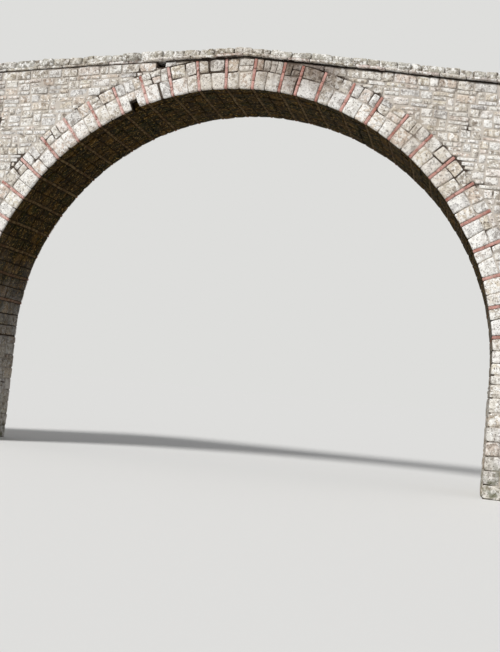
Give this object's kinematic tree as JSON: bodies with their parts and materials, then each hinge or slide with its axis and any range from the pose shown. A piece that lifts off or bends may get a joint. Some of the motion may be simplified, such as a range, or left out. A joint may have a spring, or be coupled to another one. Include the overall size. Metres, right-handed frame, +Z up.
{
  "type": "stone arch bridge",
  "caption": "Single-span masonry arch bridge of rough stone, with brick courses through its vault, spandrel walls, coping and a narrow road rising to the crown.",
  "frame": {"origin": "on the ground line under the middle of the bridge", "axes": "+X along the road to the right as seen from the front, +Y from the front face to the rear face, +Z up"},
  "size_m": [19, 2.48, 9.555],
  "materials": {
    "rubble_stone": "rough",
    "ring_stone": "rough",
    "brick": "matte",
    "coping_stone": "rough",
    "rubble_fill": "rough",
    "road_stone": "rough"
  },
  "bodies": {
    "root": {"abutment_left": "rubble_stone", "abutment_right": "rubble_stone", "brick_courses_crown": "brick", "brick_courses_left_haunch": "brick", "brick_courses_left_shoulder": "brick", "brick_courses_left_springing": "brick", "brick_courses_right_haunch": "brick", "brick_courses_right_shoulder": "brick", "brick_courses_right_springing": "brick", "coping_front_left": "coping_stone", "coping_front_right": "coping_stone", "coping_rear_left": "coping_stone", "coping_rear_right": "coping_stone", "deck_left": "road_stone", "deck_right": "road_stone", "end_wall_left": "rubble_stone", "end_wall_right": "rubble_stone", "fill_left": "rubble_fill", "fill_right": "rubble_fill", "inner_ring_crown": "ring_stone", "inner_ring_left_haunch": "ring_stone", "inner_ring_left_shoulder": "ring_stone", "inner_ring_left_springing": "ring_stone", "inner_ring_right_haunch": "ring_stone", "inner_ring_right_shoulder": "ring_stone", "inner_ring_right_springing": "ring_stone", "outer_ring_crown": "ring_stone", "outer_ring_left_haunch": "ring_stone", "outer_ring_left_shoulder": "ring_stone", "outer_ring_left_springing": "ring_stone", "outer_ring_right_haunch": "ring_stone", "outer_ring_right_shoulder": "ring_stone", "outer_ring_right_springing": "ring_stone", "spandrel_front_left": "rubble_stone", "spandrel_front_right": "rubble_stone", "spandrel_rear_left": "rubble_stone", "spandrel_rear_right": "rubble_stone", "string_course_front_left": "coping_stone", "string_course_front_right": "coping_stone", "string_course_rear_left": "coping_stone", "string_course_rear_right": "coping_stone"}
  },
  "joints": []
}
